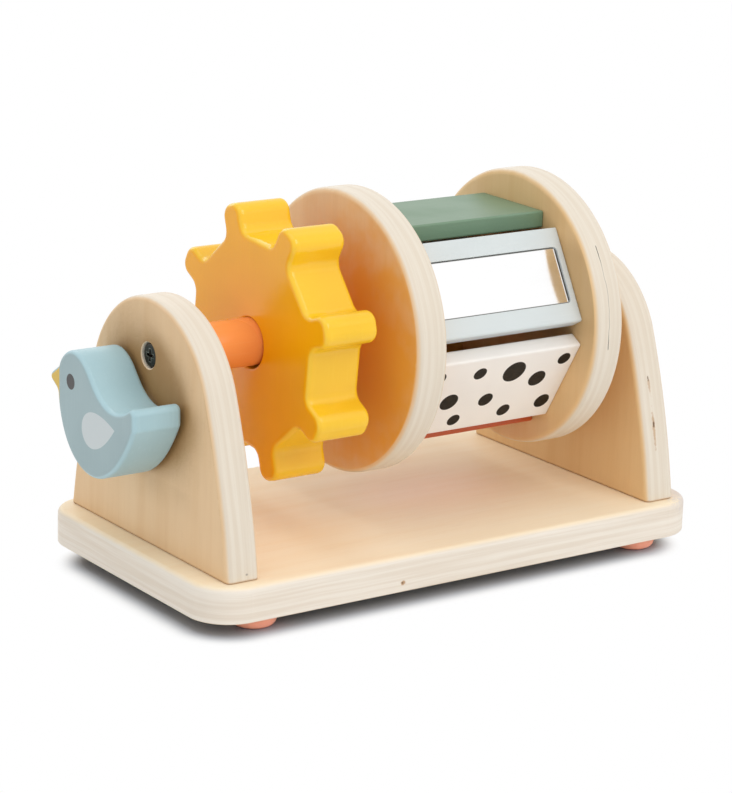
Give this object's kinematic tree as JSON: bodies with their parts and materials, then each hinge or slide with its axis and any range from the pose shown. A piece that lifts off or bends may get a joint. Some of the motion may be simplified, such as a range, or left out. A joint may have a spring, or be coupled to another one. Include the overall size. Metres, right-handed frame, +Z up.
{
  "type": "activity spinning drum",
  "caption": "Wooden baby activity toy: a slatted drum with a mirror and a toothed wheel spin on a rod between arched plywood uprights, with a turning bird on one end.",
  "frame": {"origin": "middle of the overall box at floor level, under the feet", "axes": "+X along the rod, away from the bird; -Y the front with the mirror slat; +Z up"},
  "size_m": [0.264, 0.136, 0.1583],
  "materials": {
    "plywood": "sanded birch plywood under clear matt lacquer, pale layered edges",
    "orange_paint": "satin orange paint on a beech rod",
    "yellow_paint": "satin yellow paint on wood",
    "green_paint": "satin sage green paint on wood",
    "pale_blue_paint": "satin pale blue paint on wood",
    "white_paint": "satin off-white paint on wood with printed dark spots",
    "terracotta_paint": "satin terracotta paint on wood",
    "mustard_paint": "satin mustard paint on wood",
    "powder_blue_paint": "satin powder blue paint on wood",
    "bird_blue_paint": "satin grey-blue paint on wood with printed wing and eye",
    "plain_beech": "plain beech dowel",
    "mirror": "flat acrylic mirror",
    "tape": "adhesive sheet",
    "nylon": "plain nylon",
    "black_screw": "black oxide steel",
    "screw_steel": "zinc-plated steel",
    "coral_silicone": "soft matt coral silicone"
  },
  "bodies": {
    "stand": {"base_board": "plywood", "left_upright": "plywood", "right_upright": "plywood", "upright_screws": "screw_steel", "upright_dowels": "plain_beech", "axle_rod": "orange_paint", "axle_screw_left": "black_screw", "axle_screw_right": "black_screw", "foot_front_left": "coral_silicone", "foot_front_right": "coral_silicone", "foot_back_left": "coral_silicone", "foot_back_right": "coral_silicone"},
    "wheel": {"gear_wheel": "yellow_paint"},
    "drum": {"drum_disc_left": "plywood", "drum_disc_right": "plywood", "panel_green": "green_paint", "mirror_frame": "pale_blue_paint", "mirror_sheet": "mirror", "mirror_tape": "tape", "panel_spotted": "white_paint", "panel_terracotta": "terracotta_paint", "panel_mustard": "mustard_paint", "panel_powder": "powder_blue_paint", "panel_pins": "plain_beech"},
    "bird": {"bird_body": "bird_blue_paint", "bird_spindle": "plain_beech", "bird_spacer": "nylon", "bird_end_washer": "screw_steel", "bird_end_screw": "screw_steel"}
  },
  "joints": [
    {"name": "drum_spin", "type": "hinge", "parent": "stand", "child": "drum", "pos_m": [0.036, 0, 0.0983], "axis": [1, 0, 0], "continuous": true},
    {"name": "wheel_spin", "type": "hinge", "parent": "stand", "child": "wheel", "pos_m": [-0.0471, 0, 0.0983], "axis": [1, 0, 0], "continuous": true},
    {"name": "bird_turn", "type": "hinge", "parent": "stand", "child": "bird", "pos_m": [-0.1093, 0.0052, 0.0745], "axis": [1, 0, 0], "continuous": true}
  ]
}
